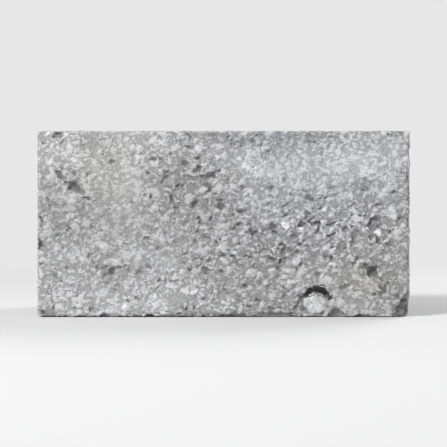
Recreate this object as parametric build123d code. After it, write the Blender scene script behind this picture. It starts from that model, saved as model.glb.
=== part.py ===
from build123d import *
import os

# A hollow concrete masonry block with two cores, as it lies in a wall. X runs along the wall,
# Y through it and Z up. The origin is the middle of the underside, and the face that shows in
# the wall looks along -Y. Sizes are in millimetres and angles in degrees.

# Overall size
block_length = 400.0
block_thickness = 200.0
block_height = 200.0

# Walls at the underside, where the drafted cores are widest
face_shell = 32.0
centre_web = 29.0
end_web = 28.0

# Cores: drafted so that the mould strips off them, with the narrow end on top as the block is
# laid. Their mouths flare inwards there, which gives the mortar a wider bed and the hand a grip.
core_corner_radius = 34.0
core_draft = 1.6
flare_height = 24.0
flare_slope = 14.0
flare_blend_radius = 45.0
mouth_radius = 2.0
foot_chamfer = 1.0

# Recess in each end, which leaves an ear of each face shell standing on both sides of it
recess_depth = 14.0
recess_floor_width = 86.0
recess_mouth_width = 112.0
recess_floor_radius = 7.0
recess_lip_radius = 5.0

# Rounding of the block's outer edges
arris_radius = 2.5

# Damage on the front face's arrises: a chipped corner, a long shallow spall, a notch beside the
# pale stone and a nick in the right end. Each is a bite by a ball, given by where its middle
# lies on the arris, from the right end and up from the underside, and by how far it reaches
# along X, Y and Z, farthest along its arris.
arris_bites = [
    (0.0, 0.0, (17.0, 14.0, 27.0)),
    (142.0, 0.0, (32.0, 6.0, 8.0)),
    (80.0, 0.0, (9.0, 7.0, 8.0)),
    (0.0, 150.0, (5.0, 6.0, 9.0)),
]

# Largest pits in the front face, where the mix didn't close: for each, its distance from the
# right end, its height, half its length and width, how far it is turned out of level, with its
# right end up, and its depth
pits = [
    (359.0, 139.0, 9.0, 4.5, -35.0, 5.5),
    (319.0, 49.0, 8.0, 5.0, 20.0, 4.5),
    (259.0, 149.0, 8.0, 3.5, 32.0, 3.0),
    (213.0, 151.0, 8.5, 4.0, 28.0, 4.0),
    (179.0, 112.0, 7.0, 4.0, -15.0, 3.5),
    (156.0, 70.0, 5.5, 4.0, 0.0, 3.0),
    (117.0, 100.0, 6.0, 4.0, 30.0, 4.0),
    (60.0, 84.0, 8.0, 3.5, 70.0, 3.5),
    (39.0, 48.0, 9.0, 4.5, -30.0, 5.5),
]

# How large the floor of a pit is beside its mouth
pit_floor_share = 0.4

# Crevice that arches over a pale stone, which stands bare in the front face near its lower edge.
# It is a crescent, drawn by the places of its two tips, its own top and the stone's, and it
# rises by this much for each millimetre that it runs into the block.
crevice_left = (116.0, 18.0)
crevice_right = (84.0, 17.0)
crevice_top = (98.0, 31.0)
stone_top = (101.0, 25.5)
crevice_depth = 8.0
crevice_rise = 0.3

# How far a cutting tool runs past the faces that it opens
overrun = 5.0

# How near a point lies to a plane that it counts as on
on_plane = 1e-3

# The cores share the length that the webs and the recesses leave
core_length = (block_length - 2 * recess_depth - 2 * end_web - centre_web) / 2
core_width = block_thickness - 2 * face_shell
core_x = (centre_web + core_length) / 2


def plan_outline():
    """The block from above, without its cores: a rectangle with a recess in each end."""
    end_x = block_length / 2
    floor_x = end_x - recess_depth
    side_y = block_thickness / 2
    floor_y = recess_floor_width / 2
    mouth_y = recess_mouth_width / 2
    right_end = [
        (0, -side_y),
        (end_x, -side_y),
        (end_x, -mouth_y),
        (floor_x, -floor_y),
        (floor_x, floor_y),
        (end_x, mouth_y),
        (end_x, side_y),
        (0, side_y),
    ]
    half = make_face(Polyline(*right_end, close=True))
    outline = half + mirror(half, about=Plane.YZ)
    recess_edge_x = (floor_x + end_x) / 2
    corners = outline.vertices().filter_by(lambda v: abs(v.Y) < side_y - on_plane)
    floor_corners = corners.filter_by(lambda v: abs(v.X) < recess_edge_x)
    outline = fillet(floor_corners, recess_floor_radius)
    lips = outline.vertices().filter_by(
        lambda v: abs(abs(v.X) - end_x) < on_plane and abs(abs(v.Y) - mouth_y) < on_plane
    )
    return fillet(lips, recess_lip_radius)


def core_tool():
    """One core, standing at the origin: a drafted prism under a flared mouth, open at both ends."""
    flare_start = block_height - flare_height
    foot = RectangleRounded(core_length, core_width, core_corner_radius)
    shaft = extrude(foot, flare_start, taper=core_draft)
    skirt = extrude(foot, -overrun)
    neck = shaft.faces().sort_by(Axis.Z)[-1]
    mouth = extrude(neck, flare_height + overrun, dir=(0, 0, 1), taper=flare_slope)
    core = shaft + mouth + skirt
    blend_edges = core.edges().filter_by(
        lambda e: abs(e.center().Z - flare_start) < on_plane
    )
    return fillet(blend_edges, flare_blend_radius)


def front_place(from_end, height):
    """The place on the front face that lies this far from the right end and this high."""
    return Vector(block_length / 2 - from_end, -block_thickness / 2, height)


def arris_bite(from_end, height, reach):
    """The ball whose bite starts at a point on an arris of the front and has the given reach.

    Its middle is level with that point along the longest reach, and stands off along the others.
    """
    longest = max(reach)
    stand_off = [(longest**2 - along**2) / (2 * along) for along in reach]
    radius = (longest**2 + sum(off**2 for off in stand_off)) ** 0.5
    middle = front_place(from_end, height) + Vector(stand_off[0], -stand_off[1], -stand_off[2])
    return Pos(middle) * Sphere(radius)


def drawn_out_hexagon(long_half, short_half):
    """A face with six sides round the origin, longest from left to right."""
    corners = [
        (long_half, 0),
        (long_half / 2, short_half),
        (-long_half / 2, short_half),
        (-long_half, 0),
        (-long_half / 2, -short_half),
        (long_half / 2, -short_half),
    ]
    return make_face(Polyline(*corners, close=True))


def pit_tool(long_half, short_half, turn, depth):
    """A blunt pyramid that narrows from a pit's mouth, in the plane of X and Z, to its floor."""
    outer_share = 1 + (1 - pit_floor_share) * overrun / depth
    outer = drawn_out_hexagon(outer_share * long_half, outer_share * short_half)
    floor = drawn_out_hexagon(pit_floor_share * long_half, pit_floor_share * short_half)
    pyramid = loft([Plane.XZ.offset(overrun) * outer, Plane.XZ.offset(-depth) * floor])
    return Rot(0, -turn, 0) * pyramid


def crevice_tool():
    """The crescent over the stone, run into the block along its rise."""
    left = front_place(*crevice_left)
    right = front_place(*crevice_right)
    upper_side = ThreePointArc(left, front_place(*crevice_top), right)
    lower_side = ThreePointArc(right, front_place(*stone_top), left)
    way = Vector(0, 1, crevice_rise).normalized()
    crescent = Pos(way * -overrun) * make_face(upper_side + lower_side)
    return extrude(crescent, overrun + crevice_depth, dir=way)


def concrete_block():
    """The whole unit: the outline stood up and rounded, its cores cut and its front face worn."""
    body = extrude(plan_outline(), block_height)
    bed_edges = body.faces().filter_by(Axis.Z).edges()
    end_arrises = body.edges().filter_by(Axis.Z).filter_by(
        lambda e: abs(abs(e.center().Y) - block_thickness / 2) < on_plane
    )
    body = fillet(bed_edges + end_arrises, arris_radius)
    core = core_tool()
    for side in (-1, 1):
        body -= Pos(side * core_x, 0, 0) * core
    beds = body.faces().filter_by(Axis.Z).sort_by(Axis.Z)
    foot_edges = [edge for foot in beds[0].inner_wires() for edge in foot.edges()]
    body = chamfer(foot_edges, foot_chamfer)
    beds = body.faces().filter_by(Axis.Z).sort_by(Axis.Z)
    mouth_edges = [edge for mouth in beds[-1].inner_wires() for edge in mouth.edges()]
    body = fillet(mouth_edges, mouth_radius)
    for from_end, height, reach in arris_bites:
        body -= arris_bite(from_end, height, reach)
    for from_end, height, long_half, short_half, turn, depth in pits:
        pit = pit_tool(long_half, short_half, turn, depth)
        body -= Pos(front_place(from_end, height)) * pit
    return body - crevice_tool()


block = concrete_block()
block.label = "block"
os.makedirs("parts", exist_ok=True)
export_step(block, "parts/block.step")
print("volume in litres", round(block.volume / 1e6, 3))
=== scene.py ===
import math

import bmesh
import bpy
import numpy as np
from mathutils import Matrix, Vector, kdtree

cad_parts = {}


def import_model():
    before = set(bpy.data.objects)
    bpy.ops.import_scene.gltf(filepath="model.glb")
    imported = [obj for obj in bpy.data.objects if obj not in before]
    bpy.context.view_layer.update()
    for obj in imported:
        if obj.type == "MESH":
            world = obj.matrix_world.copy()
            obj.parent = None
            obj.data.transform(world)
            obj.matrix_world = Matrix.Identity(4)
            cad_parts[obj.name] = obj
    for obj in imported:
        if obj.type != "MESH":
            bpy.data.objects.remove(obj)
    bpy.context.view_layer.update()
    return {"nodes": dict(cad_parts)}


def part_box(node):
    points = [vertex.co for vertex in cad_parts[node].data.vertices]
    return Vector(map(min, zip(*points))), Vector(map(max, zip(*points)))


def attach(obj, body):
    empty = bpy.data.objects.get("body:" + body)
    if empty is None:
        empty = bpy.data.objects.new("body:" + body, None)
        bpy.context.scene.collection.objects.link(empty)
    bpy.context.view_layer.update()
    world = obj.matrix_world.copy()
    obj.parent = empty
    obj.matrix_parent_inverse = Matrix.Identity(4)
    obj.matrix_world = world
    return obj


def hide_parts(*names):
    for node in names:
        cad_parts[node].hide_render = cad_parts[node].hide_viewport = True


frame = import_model()

# A weathered hollow concrete block on a pale studio floor. The block's skin is made from the
# frame's own mesh: it is cut into fine cells, its surface is worn inwards by relief, and it is
# thinned to a mesh of moderate size. Finer grain is bump.
#
# Lengths are millimetres in the relief, the map and the patterns, and metres in the studio.

MM = 0.001
BLOCK = "block"
low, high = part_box(BLOCK)
LENGTH, THICKNESS, HEIGHT = (side / MM for side in high - low)

# The skin's mesh: the width of its cells, and how many triangles are kept in all and in front
CELL = 1.1
ALL_TRIANGLES = 190_000
FRONT_TRIANGLES = 105_000

# How far back the front's part of the mesh reaches: along its outline, and in its pits, which
# lie farther in from the outline than the margin
FRONT_REACH = 6.0
PIT_REACH = 15.0
PIT_MARGIN = 3.0

# The cores' walls lie farther in than this from the ends and faces. The recess of an end lies
# nearer to it than that, and farther in from the faces than the second margin.
CORE_MARGIN = 20.0
EAR_MARGIN = 30.0

# How sharply the surface bends at an arris, close by and in a wider margin: over how many rounds
# the bend is spread along the mesh, and how much of it counts as a whole arris
CLOSE_ARRIS = (5, 0.05)
WIDE_ARRIS = (40, 0.02)

# Grains and voids are a little wider than tall, as the mix was rammed down in the mould
SQUEEZE = (0.87, 1.0, 1.18)

# Balls that make grains, round pits and chips: how far apart they stand, and their least and
# largest radius. Some of their places stay empty: this share of grains and chips is there.
COARSE_GRAINS = (8.0, (2.0, 4.6))
MEDIUM_GRAINS = (3.6, (1.0, 2.2))
ROUND_PITS = (17.0, (1.5, 5.0))
ARRIS_CHIPS = (24.0, (3.0, 8.0))
COARSE_SHARE, MEDIUM_SHARE, CHIP_SHARE = 0.5, 0.8, 0.5

# How far grains stand out, and pits and chips go in, for each millimetre of a ball's half chord
COARSE_RISE, MEDIUM_RISE, PIT_FALL, CHIP_FALL = 0.5, 0.6, 0.6, 0.55

# How wide the blobs of noise are in the wear, the ground of paste and the voids, in the waves,
# sand, drag marks and ragged arrises, and in the tones and tints
WEAR_SIZE, GROUND_SIZE, VOID_SIZE = 70, 14, 5.5
WAVE_SIZE, SAND_SIZE, DRAG_SIZE, RAGGED_SIZE = 90, 2.2, 5, 10
TONE_SIZE, TINT_SIZE = 80, 110

# How deep the waves, sand and drag marks are
WAVE_DEPTH, SAND_DEPTH, DRAG_DEPTH = 0.35, 0.22, 0.5

# How strong the chance tones and tints are on the sides that the photograph doesn't show
CHANCE_TONE, CHANCE_TINT = 0.1, 0.8

# How coarse the surface is, from 0 to 1, and how much coarser on top, underneath, in the cores
# and in the frame's own chips
USUAL_COARSE = 0.5
TOP_COARSER, UNDER_COARSER, CORE_COARSER, CHIP_COARSER = 0.1, -0.2, -0.15, 0.5

# Layers of noise that move places to and fro: the strength and size of each, and how far on its
# seed is. They give grains all shapes, and make the outlines of the front's own marks and the
# rims of the frame's hollows uneven.
WARP = ((1.7, 4.5, 0), (0.7, 1.9, 10))
WAVER = ((2.0, 5, 0), (0.8, 2.2, 1))
SWAY = ((1.7, 6, 0), (0.8, 2.6, 10))

# Seeds, one for each kind of random thing
SEED_WAVES, SEED_WARP, SEED_COARSE, SEED_MEDIUM = 100, 200, 300, 400
SEED_PITS, SEED_WEAR, SEED_EDGE, SEED_SCOOPS = 500, 600, 700, 800
SEED_OPEN, SEED_SAND, SEED_TONE, SEED_DRAG, SEED_SWAY = 900, 1000, 1100, 1200, 1300

# The noise's lattice: a cell's corners and neighbours, the factors that make a number of a
# cell's place and seed, and how the lattice is turned away from the block's own axes
CORNERS = np.array([(i, j, k) for i in (0, 1) for j in (0, 1) for k in (0, 1)])
NEIGHBOURS = np.array([(i, j, k) for i in (-1, 0, 1) for j in (-1, 0, 1) for k in (-1, 0, 1)])
LATTICE = (73856093, 19349663, 83492791)
MIXING = ((16, 0x7FEB352D), (15, 0x846CA68B), (16, 1))
SEED_FACTOR = 2654435761
TILT = np.array(
    Vector((1.0, 0.7, 0.4)).rotation_difference(Vector((0.3, 1.0, 0.8))).to_matrix()
)


# Noise

def scrambled(cells, seed):
    """A number from 0 to 1 for each lattice cell, the same in every run."""
    sides = [cells[:, k].astype(np.uint32) * np.uint32(LATTICE[k]) for k in range(3)]
    number = sides[0] ^ sides[1] ^ sides[2] ^ np.uint32(seed * SEED_FACTOR % 2**32)
    for shift, factor in MIXING:
        number = (number ^ (number >> np.uint32(shift))) * np.uint32(factor)
    return number / 2.0**32


def noise(points, size, seed):
    """Smooth noise from -1 to 1, with blobs about as wide as size."""
    place = points @ TILT / size
    cell = np.floor(place)
    part = place - cell
    part = part * part * (3 - 2 * part)
    cell = cell.astype(np.int64)
    total = np.zeros(len(points))
    for corner in CORNERS:
        weight = np.where(corner, part, 1 - part).prod(axis=1)
        total += weight * scrambled(cell + corner, seed)
    return 2 * total - 1


def fractal(points, size, seed, octaves=3):
    """Noise to which ever smaller blobs are added at ever lower strength."""
    layers = [noise(points, size / 2**k, seed + k) / 2**k for k in range(octaves)]
    return sum(layers) / sum(1 / 2**k for k in range(octaves))


def layered(points, layers, seed):
    """The sum of these layers of noise."""
    return sum(strength * noise(points, size, seed + on) for strength, size, on in layers)


def scattered_balls(points, spacing, radii, share, seed):
    """The tallest of many scattered balls at each point: its half chord there, and its number.

    The balls stand at random places in a share of the cells of a lattice with this spacing. The
    number, from 0 to 1, tells one ball from another.
    """
    cell = np.floor(points / spacing).astype(np.int64)
    chord = np.zeros(len(points))
    number = np.zeros(len(points))
    for step in NEIGHBOURS:
        home = cell + step
        inside = np.stack([scrambled(home, seed + k) for k in range(3)], axis=1)
        away = points - (home + inside) * spacing
        radius = radii[0] + (radii[1] - radii[0]) * scrambled(home, seed + 3)
        square = radius**2 - (away**2).sum(axis=1)
        tall = np.sqrt(np.maximum(square, 0)) * (scrambled(home, seed + 4) < share)
        better = tall > chord
        chord[better] = tall[better]
        number[better] = scrambled(home, seed + 5)[better]
    return chord, number


def ramp(values, start, end):
    """0 up to start, 1 from end on, and smooth between."""
    part = np.clip((values - start) / (end - start), 0, 1)
    return part * part * (3 - 2 * part)


def fading(values, start, end):
    """1 up to start, 0 from end on, and smooth between."""
    return ramp(-values, -end, -start)


# Where a point lies on the block

def behind_front(points):
    """How far each point lies behind the plane of the front face."""
    return points[:, 1] + THICKNESS / 2


def from_end(points):
    """How far each point lies in from the nearer end."""
    return LENGTH / 2 - abs(points[:, 0])


def from_face(points):
    """How far each point lies in from the nearer face."""
    return THICKNESS / 2 - abs(points[:, 1])


def to_outline(points):
    """How far each point lies from the front face's outline, seen from the front."""
    from_bed = np.minimum(points[:, 2], HEIGHT - points[:, 2])
    return np.minimum(from_end(points), from_bed)


def on_front(points, normals):
    """1 on the face that looks at the camera and 0 away from it."""
    return ramp(-normals[:, 1], 0.3, 0.7) * fading(behind_front(points), 7, 11)


def in_fine_mesh(points):
    """1 in front, where the mesh can hold each grain, and 0 where it is too coarse for that."""
    behind = behind_front(points)
    in_pits = fading(behind, 14, 17) * ramp(to_outline(points), 2, 4)
    return np.maximum(fading(behind, 5, 9), in_pits)


def among_cores(points):
    """True for points so far in that only the beds and the cores' walls lie there."""
    return (from_end(points) > CORE_MARGIN) & (from_face(points) > CORE_MARGIN)


def in_recess(points):
    """True for points in the recess of an end."""
    return (from_end(points) < CORE_MARGIN) & (from_face(points) > EAR_MARGIN)


# The photographed face. Places on it are right and up from its lower left corner.

# Where it is smooth or coarse: middle, half width, half height and how much coarser
FACE_WEAR = [
    (310, 162, 85, 28, -0.8),
    (88, 145, 36, 50, -0.7),
    (12, 150, 22, 50, -0.4),
    (125, 75, 50, 35, -0.35),
    (140, 180, 40, 20, -0.3),
    (180, 130, 40, 26, 0.25),
    (285, 80, 60, 32, 0.6),
    (350, 85, 42, 48, 0.5),
    (40, 20, 40, 18, -0.3),
]

# Where it is pale or dark: middle, half width, half height and how much paler
FACE_TONES = [
    (24, 176, 20, 15, 0.14),
    (25, 118, 40, 45, -0.09),
    (85, 112, 50, 45, -0.13),
    (92, 100, 20, 22, -0.05),
    (168, 148, 30, 24, -0.06),
    (175, 100, 45, 35, -0.1),
    (232, 165, 28, 18, 0.15),
    (254, 172, 24, 14, -0.09),
    (275, 191, 46, 12, -0.17),
    (347, 167, 44, 22, 0.16),
    (282, 88, 50, 28, 0.19),
    (338, 93, 48, 28, 0.27),
    (38, 28, 26, 26, 0.07),
    (140, 42, 36, 22, 0.16),
    (158, 14, 85, 14, 0.25),
    (255, 12, 34, 12, -0.12),
    # The chipped lower right corner: partly painted shade, partly dirt
    (388, 30, 16, 34, -0.2),
]

# Where it is yellowish or bluish: middle, half width, half height and how much bluer
FACE_TINTS = [
    (75, 155, 38, 42, -0.75),
    (355, 38, 36, 22, -0.9),
    (262, 190, 40, 14, 1.0),
    (360, 165, 45, 30, 0.8),
    (290, 140, 60, 50, 0.25),
]

# Its smaller pits: place, half length, half width, turn in degrees and depth. The largest ones
# are in the frame already.
FACE_PITS = [
    (26, 150, 7.0, 3.5, -40, 3.5), (55, 127, 5.0, 3.0, -40, 3.0), (74, 54, 4.0, 3.0, 0, 2.5),
    (160, 163, 7.0, 3.5, -30, 3.0), (172, 157, 6.0, 4.0, 10, 3.5), (184, 139, 5.0, 3.5, 0, 3.0),
    (169, 121, 5.5, 3.0, 30, 3.0), (198, 118, 5.5, 3.0, -20, 3.0), (177, 102, 4.0, 3.0, 60, 2.5),
    (230, 91, 7.0, 2.8, 80, 3.0), (301, 93, 7.0, 3.0, 75, 3.5), (269, 72, 5.5, 3.5, -20, 3.0),
    (276, 86, 5.0, 3.0, 10, 2.5), (324, 77, 5.0, 3.0, 40, 2.5), (359, 97, 7.0, 3.2, -10, 3.5),
    (349, 55, 4.0, 3.0, 0, 2.5), (284, 55, 5.0, 3.0, 15, 2.5), (259, 52, 5.0, 3.0, 0, 2.5),
    (301, 47, 6.0, 3.0, 5, 2.5), (293, 187, 7.0, 2.4, 0, 1.8), (324, 187, 5.0, 2.4, 0, 1.8),
    (352, 141, 13.0, 6.0, 5, 1.6), (248, 120, 5.0, 3.0, 0, 2.0), (23, 195, 6.0, 4.0, 0, 4.0),
    (212, 96, 4.0, 3.0, 45, 2.5), (120, 84, 4.5, 2.6, 20, 2.0), (60, 96, 3.5, 2.5, 0, 1.8),
    (104, 176, 5.0, 2.6, 50, 1.8), (372, 28, 6.0, 3.5, 50, 3.0), (330, 32, 6.0, 3.0, 20, 2.5),
]

# Places where the rims of the frame's crevice and pits have crumbled, in the same way
RIM_CRUMBS = [
    (286, 21, 4.0, 2.0, 40, 4.0), (293, 27, 4.5, 2.4, 30, 5.0), (300, 31, 4.0, 3.0, -10, 6.0),
    (308, 28, 6.5, 4.0, -35, 7.0), (314, 22, 3.5, 4.0, -20, 5.0), (280, 14, 1.8, 6.0, -5, 3.0),
    (353, 54, 5.0, 2.4, -40, 3.2), (368, 42, 4.5, 2.6, -25, 3.4), (362, 54, 3.0, 2.2, 20, 2.4),
    (33, 145, 5.0, 2.4, -35, 3.2), (49, 134, 4.0, 2.6, -30, 3.0), (44, 144, 2.6, 2.2, 10, 2.6),
    (74, 46, 4.0, 2.4, 20, 2.8), (88, 53, 4.0, 2.2, 30, 3.0), (82, 42, 2.8, 2.0, -20, 2.4),
    (134, 145, 4.0, 2.0, 30, 2.4), (195, 155, 4.0, 2.2, 30, 3.0), (180, 147, 3.6, 2.2, 10, 2.8),
    (227, 110, 3.8, 2.2, -15, 2.8), (287, 104, 3.2, 2.4, 40, 3.0), (342, 92, 3.6, 2.0, 60, 2.8),
    (366, 50, 3.6, 2.2, -55, 3.0), (357, 44, 3.4, 2.4, 10, 2.8), (372, 45, 3.0, 2.0, 50, 2.2),
    (37, 137, 3.4, 2.2, 55, 3.0), (46, 136, 3.0, 2.4, -60, 2.6), (31, 150, 3.4, 1.8, -50, 2.2),
]

# Notches in its outline, in the same way. Two of them only roughen a notch and a nick that the
# frame has.
FACE_NOTCHES = [
    (73, 0, 6.0, 4.0, 0, 6.0), (122, 0, 5.0, 4.5, 0, 6.0), (210, 0, 16.0, 4.0, 0, 6.0),
    (320, 3, 7.5, 7.5, 0, 2.0), (348, 0, 9.0, 3.5, 0, 5.0), (400, 150, 6.0, 9.0, 0, 1.5),
    (400, 100, 4.0, 6.0, 0, 5.0), (400, 62, 4.5, 7.0, 0, 5.0), (0, 118, 3.5, 7.0, 0, 4.0),
    (0, 48, 3.0, 6.0, 0, 4.0), (160, 200, 8.0, 3.0, 0, 4.0), (318, 200, 6.0, 3.0, 0, 4.0),
]

# The pale stone in its lower edge, under the crevice that the frame has: its middle, half its
# width and height, how far its rounded top falls away to its outline, and how much paler it is
STONE_AT = (298, 13)
STONE_HALF = (13, 10)
STONE_FALL = 2.4
STONE_PALER = 0.26

# The pale lump under the pits at its left, in the same way
LUMP_AT = (36, 128)
LUMP_HALF = (10, 6)
LUMP_PALER = 0.16


def face_places(points):
    """Right and up from the front's lower left corner."""
    return points[:, 0] + LENGTH / 2, points[:, 2]


def zoned(points, zones):
    """The sum of soft round zones of the front face."""
    u, v = face_places(points)
    total = np.zeros(len(points))
    for zone_u, zone_v, wide, tall, more in zones:
        away = ((u - zone_u) / wide) ** 2 + ((v - zone_v) / tall) ** 2
        total += more * np.exp(-away)
    return total


def oval_away(u, v, middle, half):
    """How far a place lies from the middle of an oval, where 1 is on its line."""
    return np.hypot((u - middle[0]) / half[0], (v - middle[1]) / half[1])


def ovals(u, v, places):
    """How deep these oval pits are."""
    depth = np.zeros(len(u))
    for pit_u, pit_v, long_half, short_half, turn, deep in places:
        angle = math.radians(turn)
        along = (u - pit_u) * math.cos(angle) + (v - pit_v) * math.sin(angle)
        across = (v - pit_v) * math.cos(angle) - (u - pit_u) * math.sin(angle)
        away = (along / long_half) ** 2 + (across / short_half) ** 2
        depth = np.maximum(depth, deep * np.sqrt(np.maximum(1 - away, 0)))
    return depth


def sunk(points):
    """How far the frame's own pits, crevice and chips lie below the front, and which is chip."""
    below = behind_front(points)
    deep = ramp(to_outline(points), 0.5, 2) * fading(below, 14, 16) * np.clip(below - 1, 0, 7)
    return deep, ramp(deep, 0.5, 2) * fading(to_outline(points), 14, 17)


def swayed(points):
    """The points, moved to and fro along the front face, so that the frame's rims are uneven."""
    share = fading(behind_front(points), 6, 12) * ramp(to_outline(points), 3, 7)
    moved = points.copy()
    for axis in (0, 2):
        moved[:, axis] += share * layered(points, SWAY, SEED_SWAY + axis)
    return moved


# The relief

def warp(points):
    """The points, moved about and squeezed, so that balls give grains of all shapes."""
    shift = np.stack([layered(points, WARP, SEED_WARP + k) for k in range(3)], axis=1)
    return (points + shift) * SQUEEZE


def coarseness(points, normals, front, core, chipped):
    """How coarse the surface is, from 0 where paste covers the grains to 1 where it is worn."""
    top = ramp(normals[:, 2], 0.6, 0.9)
    under = ramp(-normals[:, 2], 0.6, 0.9)
    coarse = USUAL_COARSE + 0.5 * fractal(points, WEAR_SIZE, SEED_WEAR)
    coarse += front * zoned(points, FACE_WEAR)
    beds = TOP_COARSER * top + UNDER_COARSER * under
    coarse += beds + CORE_COARSER * core + CHIP_COARSER * chipped
    return np.clip(coarse, 0, 1)


def grained(points, warped, coarse, fine):
    """How deep the seams between the grains are, and each grain's number.

    Grains stand in a ground of paste, which lies deeper where the surface is coarse. Those that
    would stand above the face are worn almost level with it.
    """
    large, large_number = scattered_balls(warped, *COARSE_GRAINS, COARSE_SHARE, SEED_COARSE)
    small, small_number = scattered_balls(warped, *MEDIUM_GRAINS, MEDIUM_SHARE, SEED_MEDIUM)
    tall = np.maximum(COARSE_RISE * large, MEDIUM_RISE * small)
    number = np.where(COARSE_RISE * large > MEDIUM_RISE * small, large_number, small_number)
    ground = 0.5 + 1.0 * coarse + 0.35 * fractal(points, GROUND_SIZE, SEED_WAVES)
    proud, worn = 0.25, 0.15
    seam = np.maximum(ground - tall, worn * (ground - tall))
    return (np.maximum(seam, -proud) + proud) * (0.4 + 0.6 * fine), number


def voids(warped, coarse, fine):
    """How deep the voids are where the mix didn't close."""
    openness = fractal(warped, VOID_SIZE, SEED_OPEN, 2)
    void = ramp(openness, 0.42 - 0.22 * coarse, 0.75 - 0.2 * coarse)
    return void * ((1.0 + 1.6 * coarse) * (0.6 + 0.4 * fine))


def both_deep(first, second):
    """The greater of two depths, and a little more where both are there."""
    return np.maximum(first, second) + 0.35 * np.minimum(first, second)


def marked(points, front, hollow, dark):
    """The photographed face's own marks, added to how hollow and how dark the surface is.

    Gives both, and where the pale stone and the pale lump are.
    """
    u, v = face_places(points)
    waver_u = layered(points, WAVER, SEED_SCOOPS)
    waver_v = layered(points, WAVER, SEED_SCOOPS + 2)
    pits = front * ovals(u + waver_u, v + waver_v, FACE_PITS)
    behind = behind_front(points) + 2.5 * noise(points, 6, SEED_SCOOPS + 4)
    notches = fading(behind, 0, 10) * ovals(u + waver_u / 2, v + waver_v / 2, FACE_NOTCHES)
    crumbs = front * ovals(u + 0.8 * waver_u, v + 0.8 * waver_v, RIM_CRUMBS)
    gaps = np.maximum(notches, crumbs)

    # Both the stone and the lump are smoother than the rest, and the stone is domed
    from_stone = oval_away(u + 1.2 * waver_u, v + waver_v, STONE_AT, STONE_HALF)
    stone = front * fading(from_stone, 0.92, 1.08)
    dome = front * fading(from_stone, 1.05, 1.5) * STONE_FALL * np.minimum(from_stone, 1) ** 3
    from_lump = oval_away(u + waver_u, v + waver_v, LUMP_AT, LUMP_HALF)
    lump = front * fading(from_lump, 0.7, 1.12)
    rough = (1 - 0.7 * stone) * (1 - 0.6 * lump)
    # Pits, notches, crumbs and the rim round the stone are coloured darker: painted shade, with
    # some dust
    hollow = np.maximum(both_deep(hollow, pits) * rough + dome, gaps)
    dark = np.maximum(both_deep(dark, pits) * rough + 0.8 * dome * (1 - stone), gaps)
    return hollow, dark, stone, lump


def tones(points, front, stone, lump):
    """How pale each point is. The front has tones of its own, and the other sides chance ones."""
    tone = 1 + CHANCE_TONE * fractal(points, TONE_SIZE, SEED_TONE) * (1 - front)
    tone += front * zoned(points, FACE_TONES)
    uneven_paler = STONE_PALER + 0.1 * noise(points, 6, SEED_TONE + 20)
    return tone + (uneven_paler * stone + LUMP_PALER * lump)


def tints(points, front):
    """How bluish each point is, or how yellowish below 0, in the same way."""
    tint = CHANCE_TINT * fractal(points, TINT_SIZE, SEED_TONE + 10) * (1 - front)
    return tint + front * zoned(points, FACE_TINTS)


def relief(points, normals, edges, margin):
    """How far each point is worn inwards, and what the colours need to know."""
    front = on_front(points, normals)
    fine = in_fine_mesh(points)
    core = among_cores(points) * fading(abs(normals[:, 2]), 0.6, 0.8)
    deep, chipped = sunk(points)
    coarse = coarseness(points, normals, front, core, chipped)

    # Seams, voids and round pits all over, and the front's own marks
    warped = warp(points)
    seam, number = grained(points, warped, coarse, fine)
    opened = seam + voids(warped, coarse, fine)
    round_pit, _ = scattered_balls(warped, *ROUND_PITS, 0.1 + 0.35 * coarse, SEED_PITS)
    pit = PIT_FALL * round_pit
    # The last argument is how dark the hollows are coloured: painted shade, with some dust
    hollow, dark, stone, lump = marked(points, front, opened + pit, opened * fine + pit)

    # The frame's own hollows are coloured darker, the chips less so, because more light gets in
    # there: painted shade, with some dirt
    hollow_shade_and_dirt = deep * (1 - 0.5 * chipped) * (0.8 + 0.4 * noise(points, 7, SEED_SCOOPS + 5))
    dark = np.maximum(dark, hollow_shade_and_dirt)

    # Cores are dragged smooth by the mould, and chips break out of the arrises
    lengthwise = points * (1, 1, 0.1)
    drag = core * DRAG_DEPTH * (1 + fractal(lengthwise, DRAG_SIZE, SEED_DRAG))
    chip, _ = scattered_balls(warped, *ARRIS_CHIPS, CHIP_SHARE, SEED_EDGE + 10)
    chips = margin * CHIP_FALL * chip
    ragged = edges * np.clip(0.8 + 1.5 * fractal(points, RAGGED_SIZE, SEED_EDGE), 0, 3)
    waves = WAVE_DEPTH * (1 + fractal(points, WAVE_SIZE, SEED_WAVES + 10))
    sand = SAND_DEPTH * noise(points, SAND_SIZE, SEED_SAND) * (0.6 + coarse)

    facts = {
        # How dark the hollows and chips are coloured: painted shade, with some dust
        "hollow": np.clip((dark + 0.5 * chips - 0.25) / 2.4, 0, 1),
        "fine": fine,
        "grain": number,
        "coarse": coarse,
        "edge": edges,
        "tone": tones(points, front, stone, lump),
        "tint": tints(points, front),
    }
    return hollow + chips + ragged + waves + sand + drag, facts


# The skin's mesh

def fine_mesh():
    """The block's own mesh, cut into even cells."""
    source = bpy.data.objects.new("cells", frame["nodes"][BLOCK].data.copy())
    bpy.context.scene.collection.objects.link(source)
    joined = bmesh.new()
    joined.from_mesh(source.data)
    bmesh.ops.remove_doubles(joined, verts=joined.verts, dist=1e-6)
    joined.to_mesh(source.data)
    joined.free()
    remesh = source.modifiers.new("cells", "REMESH")
    remesh.mode = "VOXEL"
    remesh.voxel_size = CELL * MM
    shown = source.evaluated_get(bpy.context.evaluated_depsgraph_get())
    mesh = bpy.data.meshes.new_from_object(shown)
    bpy.data.objects.remove(source)
    return mesh


def read(items, name, width=1, kind=np.int32):
    """A mesh's numbers of this name, as rows where there is more than one for each item."""
    flat = np.empty(len(items) * width, kind)
    items.foreach_get(name, flat)
    return flat.reshape(-1, width) if width > 1 else flat


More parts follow.
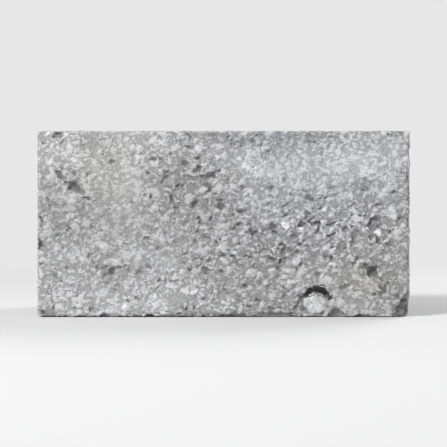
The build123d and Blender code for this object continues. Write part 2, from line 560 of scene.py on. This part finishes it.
def spread(values, pairs, rounds):
    """The values, averaged with their neighbours' along the mesh's edges."""
    count = np.bincount(pairs.ravel(), minlength=len(values))
    for _ in range(rounds):
        total = np.bincount(pairs[:, 0], values[pairs[:, 1]], len(values))
        total += np.bincount(pairs[:, 1], values[pairs[:, 0]], len(values))
        values = (values + total / count) / 2
    return values


def bend(points, normals, pairs):
    """How sharply the surface bends outwards at each point."""
    count = np.bincount(pairs.ravel(), minlength=len(points))
    towards = np.zeros_like(points)
    for axis in range(3):
        step = points[pairs[:, 1], axis] - points[pairs[:, 0], axis]
        towards[:, axis] = np.bincount(pairs[:, 0], step, len(points))
        towards[:, axis] -= np.bincount(pairs[:, 1], step, len(points))
    return -(towards * normals).sum(axis=1) / count


def near_arrises(points, normals, pairs):
    """How near each point is to an arris, from 0 to 1: close by, and in a wider margin."""
    sharp = bend(points, normals, pairs)
    edges, margin = (
        np.clip(spread(sharp, pairs, rounds) / whole, 0, 1)
        for rounds, whole in (CLOSE_ARRIS, WIDE_ARRIS)
    )

    # Only the block's own arrises are chipped further, and the rims of its pits stay sharper
    inner = on_front(points, normals) * ramp(to_outline(points), 6, 11)
    return edges * (1 - 0.5 * inner), margin * (1 - inner)


def thinned(piece, front):
    """The piece's mesh with ALL_TRIANGLES, of which FRONT_TRIANGLES are on the front."""
    group = piece.vertex_groups.new(name="front")
    group.add(np.flatnonzero(front).tolist(), 1.0, "REPLACE")
    quads = piece.data.polygons
    quads_in_front = int(front[read(quads, "vertices", 4)].all(axis=1).sum())
    everywhere = 2 * len(quads)
    after_rest = 2 * quads_in_front + ALL_TRIANGLES - FRONT_TRIANGLES
    for name, ratio, invert in (
        ("thin the rest", after_rest / everywhere, True),
        ("thin the front", ALL_TRIANGLES / after_rest, False),
    ):
        decimate = piece.modifiers.new(name, "DECIMATE")
        decimate.ratio = min(1.0, ratio)
        decimate.vertex_group = "front"
        decimate.invert_vertex_group = invert

        # At 0 the modifier takes no notice of the group
        decimate.vertex_group_factor = 0.001
    shown = piece.evaluated_get(bpy.context.evaluated_depsgraph_get())
    mesh = bpy.data.meshes.new_from_object(shown)
    piece.modifiers.clear()
    return mesh


# The map that the patterns are baked through: one chart for each outer side and each core wall.
# Of a core's four walls, the first two look along X and the others along Y.
MAP_SIDE = 850.0
MAP_GAP = 6.0
CORE_SPAN = 143.0
HALF_WEB = 14.0
FRONT, BACK, TOP, UNDER, LEFT, RIGHT, FIRST_WALL = range(7)
LEFT_CORE = range(FIRST_WALL, FIRST_WALL + 4)
RIGHT_CORE = range(FIRST_WALL + 4, FIRST_WALL + 8)


def charts(points, normals):
    """Each point's chart."""
    side = np.argmax(abs(normals), axis=1)
    upright = side != 2
    positive = np.take_along_axis(normals, side[:, None], axis=1)[:, 0] > 0
    right = points[:, 0] > 0
    chart = np.select(
        [side == 2, side == 1],
        [np.where(positive, TOP, UNDER), np.where(positive, BACK, FRONT)],
        np.where(positive, RIGHT, LEFT),
    )
    chart = np.where(in_recess(points) & upright, np.where(right, RIGHT, LEFT), chart)
    wall = FIRST_WALL + 4 * right + 2 * (side == 1) + positive
    return np.where(among_cores(points) & upright, wall, chart)


def chart_places():
    """For each chart, the axes that it shows, their least values, and its left and lower edge."""
    along_y = [*LEFT_CORE[:2], *RIGHT_CORE[:2]]
    along_x = [*LEFT_CORE[2:], *RIGHT_CORE[2:]]
    rows = [
        [(FRONT, 0, 2), (BACK, 0, 2)],
        [(TOP, 0, 1), (UNDER, 0, 1)],
        [(chart, 1, 2) for chart in (LEFT, RIGHT, *along_y[:3])],
        [(chart, 0, 2) for chart in along_x] + [(along_y[3], 1, 2)],
    ]
    least = (-LENGTH / 2, -THICKNESS / 2, 0)
    places = {}
    for row, shown in enumerate(rows):
        left = MAP_GAP
        lower = MAP_GAP + row * (HEIGHT + MAP_GAP)
        for chart, across, up in shown:
            start = least[across]
            wide = (LENGTH, THICKNESS)[across]
            if chart >= FIRST_WALL:
                wide = CORE_SPAN
                start = -CORE_SPAN / 2
                if across == 0:
                    start = -CORE_SPAN - HALF_WEB if chart in LEFT_CORE else HALF_WEB
            places[chart] = (across, up, start, least[up], left, lower)
            left += wide + MAP_GAP
    return places


def give_map(mesh, chart):
    """The mesh's map for baking, flat against each chart's own side."""
    corner_points = read(mesh.loops, "vertex_index")
    points = read(mesh.vertices, "co", 3, np.float64) / MM
    starts = read(mesh.polygons, "loop_start")
    totals = read(mesh.polygons, "loop_total")
    face_chart = np.repeat(chart[corner_points[starts]], totals)
    places = points[corner_points]
    flat = np.zeros((len(corner_points), 2))
    for name, (across, up, least_across, least_up, left, lower) in chart_places().items():
        here = face_chart == name
        flat[here, 0] = left + places[here, across] - least_across
        flat[here, 1] = lower + places[here, up] - least_up
    layer = mesh.uv_layers.new(name="OFBake")
    layer.data.foreach_set("uv", (flat / MAP_SIDE).astype(np.float32).ravel())


def nearest_places(mesh, places):
    """For each of the mesh's vertices, the number of the place that it lies nearest to."""
    tree = kdtree.KDTree(len(places))
    for index, place in enumerate(places):
        tree.insert(place, index)
    tree.balance()
    return np.array([tree.find(vertex.co)[1] for vertex in mesh.vertices])


def skin():
    """The worn block, with what its material needs kept on its points."""
    mesh = fine_mesh()
    points = read(mesh.vertices, "co", 3, np.float64) / MM
    normals = read(mesh.vertices, "normal", 3, np.float64)
    edges, margin = near_arrises(points, normals, read(mesh.edges, "vertices", 2))
    depth, facts = relief(points, normals, edges, margin)
    worn_points = (swayed(points) - normals * depth[:, None]) * MM
    mesh.vertices.foreach_set("co", worn_points.ravel())
    piece = bpy.data.objects.new("block_skin", mesh)
    bpy.context.scene.collection.objects.link(piece)
    behind = behind_front(points)
    in_pits = (behind < PIT_REACH) & (to_outline(points) > PIT_MARGIN)
    piece.data = thinned(piece, (behind < FRONT_REACH) | in_pits)
    nearest = nearest_places(piece.data, worn_points)
    for name, values in facts.items():
        kept = piece.data.attributes.new(name, "FLOAT", "POINT")
        kept.data.foreach_set("value", values[nearest].astype(np.float32))
    give_map(piece.data, charts(points, normals)[nearest])
    piece.data.shade_smooth()
    return piece


# Materials

class Nodes:
    """A material's node tree, with short ways to add to it. Sizes are in millimetres."""

    def __init__(self, name):
        self.material = bpy.data.materials.new(name)
        self.material.use_nodes = True
        self.tree = self.material.node_tree
        self.surface = self.tree.nodes["Principled BSDF"]

    def add(self, kind, inputs=None, **settings):
        """A node with these settings. Each input is a value or another node's output."""
        node = self.tree.nodes.new(kind)
        for name, value in settings.items():
            setattr(node, name, value)
        for name, value in (inputs or {}).items():
            self.join(value, node.inputs[name])
        return node

    def join(self, value, socket):
        """Sets the socket, or links another node's output to it."""
        if isinstance(value, bpy.types.NodeSocket):
            self.tree.links.new(value, socket)
        else:
            socket.default_value = value

    def math(self, operation, first, second=0.0, third=0.0):
        inputs = {0: first, 1: second, 2: third}
        return self.add("ShaderNodeMath", inputs, operation=operation).outputs[0]

    def vector(self, operation, first, second):
        inputs = {0: first, 1: second}
        return self.add("ShaderNodeVectorMath", inputs, operation=operation).outputs[0]

    def product(self, first, *others):
        for other in others:
            first = self.math("MULTIPLY", first, other)
        return first

    def scaled(self, value, old_low, old_high, new_low, new_high):
        """The value, carried from one range to another and kept within it."""
        inputs = {1: old_low, 2: old_high, 3: new_low, 4: new_high, 0: value}
        return self.add("ShaderNodeMapRange", inputs).outputs[0]

    def faded(self, share, value):
        """1, and the value where the share is 1."""
        return self.math("MULTIPLY_ADD", self.math("SUBTRACT", value, 1.0), share, 1.0)

    def blended(self, share, first, second, way="MIX"):
        node = self.add("ShaderNodeMix", data_type="RGBA", blend_type=way)
        self.join(share, node.inputs["Factor"])
        self.join(first, node.inputs[6])
        self.join(second, node.inputs[7])
        return node.outputs[2]

    def kept(self, name):
        """A number kept on the mesh's points."""
        return self.add("ShaderNodeAttribute", attribute_name=name).outputs["Fac"]

    def clouds(self, place, size, detail=3.0, rough=0.6):
        """Soft noise with blobs of this size."""
        inputs = {"Vector": place, "Scale": 1 / (size * MM), "Detail": detail, "Roughness": rough}
        return self.add("ShaderNodeTexNoise", inputs).outputs

    def cells(self, place, size):
        """Round cells of this size."""
        inputs = {"Vector": place, "Scale": 1 / (size * MM)}
        return self.add("ShaderNodeTexVoronoi", inputs).outputs


# The concrete's yellowish and bluish grey, and how much its finer colours stand out where it is
# smooth and where it is coarse
WARM_GREY = (0.524, 0.518, 0.498, 1)
BLUE_GREY = (0.504, 0.51, 0.543, 1)
CONTRAST = (0.8, 1.3)

# How wide its powder, grit, dust and pinholes are, and its blotches of tone and of roughness
POWDER_SIZE, GRIT_SIZE, DUST_SIZE, PINHOLE_SIZE = 0.9, 1.7, 2.4, 3.1
BLOTCH_SIZE, ROUGHNESS_SIZE = 16, 5

# How wide the gravel and its small and wide voids are, and how wide and strong the drift is that
# gives them all shapes
GRAVEL_SIZE, SMALL_VOID_SIZE, WIDE_VOID_SIZE = 4.4, 4.6, 10
DRIFT_SIZE, DRIFT = 4.5, 5

# How high powder, grit, pinholes, gravel and voids stand in the bump
POWDER_HIGH, GRIT_HIGH, PINHOLE_HIGH, GRAVEL_HIGH, VOID_HIGH = 0.6, 0.33, -0.78, 1.1, -1.4


def gravel(nodes, place, coarse):
    """Grains and voids for the sides where the mesh is too coarse for them.

    Gives how high the grains stand, a colour for each, and 1 in the voids.
    """
    drift = nodes.clouds(place, DRIFT_SIZE, 1.5, 0.5)["Color"]
    centred = nodes.vector("SUBTRACT", drift, (0.5, 0.5, 0.5))
    inputs = {0: centred, "Scale": DRIFT * MM}
    moved = nodes.add("ShaderNodeVectorMath", inputs, operation="SCALE").outputs[0]
    warped = nodes.vector("ADD", place, moved)
    grains = nodes.cells(warped, GRAVEL_SIZE)
    dome = nodes.scaled(grains["Distance"], 0, 0.8, 1, 0)

    small = nodes.clouds(warped, SMALL_VOID_SIZE, 2.0, 0.5)["Fac"]
    small_from = nodes.scaled(coarse, 0.1, 0.9, 0.66, 0.53)
    small_void = nodes.scaled(small, small_from, nodes.math("ADD", small_from, 0.09), 0, 1)
    wide = nodes.clouds(warped, WIDE_VOID_SIZE, 3.0, 0.5)["Fac"]
    wide_from = nodes.scaled(coarse, 0, 1, 0.7, 0.63)
    wide_void = nodes.scaled(wide, wide_from, nodes.math("ADD", wide_from, 0.05), 0, 1)
    return dome, grains["Color"], nodes.math("MAXIMUM", small_void, wide_void)


def concrete():
    """Grey concrete: sandy grain, light and dark stones, soft blotches, pinholes with painted
    shade, and hollows darkened by painted shade and dust.
    """
    nodes = Nodes("weathered concrete")
    place = nodes.add("ShaderNodeTexCoord").outputs["Object"]
    place = nodes.vector("MULTIPLY", place, SQUEEZE)
    hollow, grain = nodes.kept("hollow"), nodes.kept("grain")
    coarse, edge = nodes.kept("coarse"), nodes.kept("edge")
    fine = nodes.kept("fine")
    rest = nodes.math("SUBTRACT", 1.0, fine)
    dome, gravel_colour, void = gravel(nodes, place, coarse)
    contrast = nodes.scaled(coarse, 0, 1, *CONTRAST)

    # Stones: the mesh's own in front, and the gravel elsewhere
    stone_share = nodes.product(fine, contrast)
    stone = nodes.faded(stone_share, nodes.scaled(grain, 0, 1, 0.93, 1.07))
    pale_stone = nodes.faded(fine, nodes.scaled(grain, 0.94, 0.95, 1, 1.12))
    dark_stone = nodes.faded(fine, nodes.scaled(grain, 0.04, 0.05, 0.8, 1))
    gravel_tone = nodes.faded(rest, nodes.scaled(gravel_colour, 0, 1, 0.92, 1.08))
    # Darker rims between the gravel's grains and darker voids: painted shade, as the bump casts
    # none
    gravel_shade = nodes.faded(rest, nodes.scaled(dome, 0, 0.5, 0.84, 1.03))
    void_shade = nodes.faded(rest, nodes.scaled(void, 0, 1, 1.0, 0.64))

    # What is finer and what is wider than the stones
    grit = nodes.cells(place, GRIT_SIZE)
    grit_tone = nodes.faded(contrast, nodes.scaled(grit["Color"], 0, 1, 0.83, 1.17))
    dusty = nodes.clouds(place, DUST_SIZE, 4, 0.75)["Fac"]
    dust = nodes.faded(contrast, nodes.scaled(dusty, 0.3, 0.7, 0.84, 1.16))
    # Pinholes are sunk in the bump and coloured darker: painted shade
    pinhole = nodes.scaled(nodes.cells(place, PINHOLE_SIZE)["Distance"], 0.16, 0.26, 1, 0)
    pinhole = nodes.product(pinhole, nodes.scaled(coarse, 0, 1, 0.45, 1))
    blotch = nodes.scaled(nodes.clouds(place, BLOTCH_SIZE)["Fac"], 0.3, 0.7, 0.93, 1.07)
    # The hollows are coloured darker, most where the surface is coarse: painted shade, with some
    # dust
    deepest_shade_and_dust = nodes.scaled(coarse, 0, 1, 0.56, 0.42)
    tone = nodes.product(
        nodes.kept("tone"), blotch, stone, pale_stone, dark_stone, grit_tone, dust,
        gravel_tone, gravel_shade, void_shade,
        nodes.scaled(pinhole, 0, 1, 1.02, 0.66),
        nodes.scaled(hollow, 0, 1, 1.06, deepest_shade_and_dust),
        nodes.scaled(coarse, 0, 1, 1.03, 0.98),
        nodes.scaled(edge, 0, 1, 1.0, 1.05),
    )
    blue_share = nodes.scaled(nodes.kept("tint"), -1, 1, 0, 1)
    base = nodes.blended(blue_share, WARM_GREY, BLUE_GREY)
    grey = nodes.add("ShaderNodeCombineColor", {0: tone, 1: tone, 2: tone}).outputs[0]
    colour = nodes.blended(1.0, base, grey, "MULTIPLY")
    nodes.join(colour, nodes.surface.inputs["Base Color"])
    rough = nodes.scaled(nodes.clouds(place, ROUGHNESS_SIZE)["Fac"], 0.3, 0.7, 0.84, 0.98)
    nodes.join(rough, nodes.surface.inputs["Roughness"])
    nodes.surface.inputs["Specular IOR Level"].default_value = 0.25

    # The bump's height, in millimetres
    powder = nodes.clouds(place, POWDER_SIZE, 4, 0.7)["Fac"]
    height = nodes.math("MULTIPLY", powder, POWDER_HIGH)
    grit_dome = nodes.scaled(grit["Distance"], 0, 0.8, 1, 0)
    height = nodes.math("MULTIPLY_ADD", grit_dome, GRIT_HIGH, height)
    height = nodes.math("MULTIPLY_ADD", pinhole, PINHOLE_HIGH, height)
    coarser = nodes.math("MULTIPLY", dome, GRAVEL_HIGH)
    coarser = nodes.math("MULTIPLY_ADD", void, VOID_HIGH, coarser)
    height = nodes.math("MULTIPLY_ADD", coarser, rest, height)
    bump = nodes.add("ShaderNodeBump", {"Height": height, "Distance": MM, "Strength": 0.9})
    nodes.join(bump.outputs[0], nodes.surface.inputs["Normal"])
    return nodes.material


# The studio

# Its backdrop, and its floor: two greys, half its width, and from how far out to how far out it
# fades to the backdrop
BACKDROP = (0.8, 0.8, 0.8, 1)
FLOOR_GREYS = ((0.7, 0.7, 0.7, 1), (0.72, 0.72, 0.72, 1))
FLOOR_HALF = 20.0
FLOOR_FADES = (0.5, 1.5)

# Its even light, and its lamps: place, size and watts
SKY = (0.985, 0.99, 1.0, 1)
SKY_STRENGTH = 0.4
LAMPS = {
    "key": ((-1.6, -1.9, 2.0), 0.8, 87),
    "back": ((1.5, 1.8, 1.5), 1.4, 36),
}

# Its camera: the share of the picture's width that the block takes, and the lens and sensor in
# millimetres
FRAME_SHARE = 0.84
LENS = 100.0
SENSOR = 36.0


def pale_ray(tree):
    """1 for rays that show the background: the camera's, mirrored and see-through ones."""
    ray = tree.nodes.new("ShaderNodeLightPath")
    mirrored = tree.nodes.new("ShaderNodeMath")
    mirrored.operation = "MAXIMUM"
    seen = tree.nodes.new("ShaderNodeMath")
    seen.operation = "MAXIMUM"
    tree.links.new(ray.outputs["Is Glossy Ray"], mirrored.inputs[0])
    tree.links.new(ray.outputs["Is Transmission Ray"], mirrored.inputs[1])
    tree.links.new(ray.outputs["Is Camera Ray"], seen.inputs[0])
    tree.links.new(mirrored.outputs[0], seen.inputs[1])
    return seen.outputs[0]


def floor():
    """A wide pale floor at the level that the block stands on. Far out it fades to the backdrop."""
    nodes = Nodes("studio floor")
    speck = nodes.add("ShaderNodeTexNoise", {"Scale": 40.0, "Detail": 2.0}).outputs["Fac"]
    nodes.join(nodes.blended(speck, *FLOOR_GREYS), nodes.surface.inputs["Base Color"])
    nodes.surface.inputs["Roughness"].default_value = 0.9
    place = nodes.add("ShaderNodeTexCoord").outputs["Object"]
    away = nodes.add("ShaderNodeVectorMath", {0: place}, operation="LENGTH").outputs["Value"]
    far = nodes.scaled(away, *FLOOR_FADES, 0, 1)
    share = nodes.product(far, pale_ray(nodes.tree))
    glow = nodes.add("ShaderNodeEmission", {"Color": BACKDROP, "Strength": 1.0}).outputs[0]
    inputs = {0: share, 1: nodes.surface.outputs[0], 2: glow}
    mixed = nodes.add("ShaderNodeMixShader", inputs).outputs[0]
    nodes.join(mixed, nodes.tree.nodes["Material Output"].inputs["Surface"])
    mesh = bpy.data.meshes.new("floor")
    around = ((-1, -1), (1, -1), (1, 1), (-1, 1))
    corners = [(x * FLOOR_HALF, y * FLOOR_HALF, 0) for x, y in around]
    mesh.from_pydata(corners, [], [(0, 1, 2, 3)])
    mesh.materials.append(nodes.material)
    obj = bpy.data.objects.new("floor", mesh)
    bpy.context.scene.collection.objects.link(obj)
    obj.location.z = low.z


def world():
    """Even light from all sides, and a pale backdrop behind what the camera sees."""
    made = bpy.data.worlds.new("studio")
    made.use_nodes = True
    tree = made.node_tree
    tree.nodes.clear()
    light, backdrop = (tree.nodes.new("ShaderNodeBackground") for _ in range(2))
    light.inputs["Color"].default_value = SKY
    light.inputs["Strength"].default_value = SKY_STRENGTH
    backdrop.inputs["Color"].default_value = BACKDROP
    backdrop.inputs["Strength"].default_value = 1.0
    mix = tree.nodes.new("ShaderNodeMixShader")
    tree.links.new(pale_ray(tree), mix.inputs[0])
    tree.links.new(light.outputs[0], mix.inputs[1])
    tree.links.new(backdrop.outputs[0], mix.inputs[2])
    out = tree.nodes.new("ShaderNodeOutputWorld")
    tree.links.new(mix.outputs[0], out.inputs["Surface"])
    bpy.context.scene.world = made


def lamp(name, place, size, watts):
    """A square soft light at a place, turned to the middle of the block."""
    data = bpy.data.lights.new(name, "AREA")
    data.size = size
    data.energy = watts
    obj = bpy.data.objects.new(name, data)
    obj.location = place
    middle = Vector((0, 0, HEIGHT * MM / 2))
    obj.rotation_euler = (middle - Vector(place)).to_track_quat("-Z", "Y").to_euler()
    bpy.context.scene.collection.objects.link(obj)


def camera():
    """Straight at the front face, at the block's own middle height."""
    data = bpy.data.cameras.new("camera")
    data.lens = LENS
    data.sensor_width = SENSOR
    wide = LENGTH * MM / FRAME_SHARE
    distance = wide * LENS / SENSOR
    obj = bpy.data.objects.new("camera", data)
    obj.location = ((low.x + high.x) / 2, low.y - distance, (low.z + high.z) / 2)
    obj.rotation_euler = (math.radians(90), 0, 0)
    bpy.context.scene.collection.objects.link(obj)
    bpy.context.scene.camera = obj


camera()
block_skin = skin()

# The frame's own block has the skin's material too
weathered = concrete()
for piece in (block_skin, frame["nodes"][BLOCK]):
    piece.data.materials.clear()
    piece.data.materials.append(weathered)
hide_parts(BLOCK)
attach(block_skin, "root")
floor()
world()
for name, (place, size, watts) in LAMPS.items():
    lamp(name, place, size, watts)
bpy.context.scene.view_settings.view_transform = "Standard"

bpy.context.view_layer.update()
triangles = [len(face.vertices) - 2 for face in block_skin.data.polygons]
print("triangles", sum(triangles))
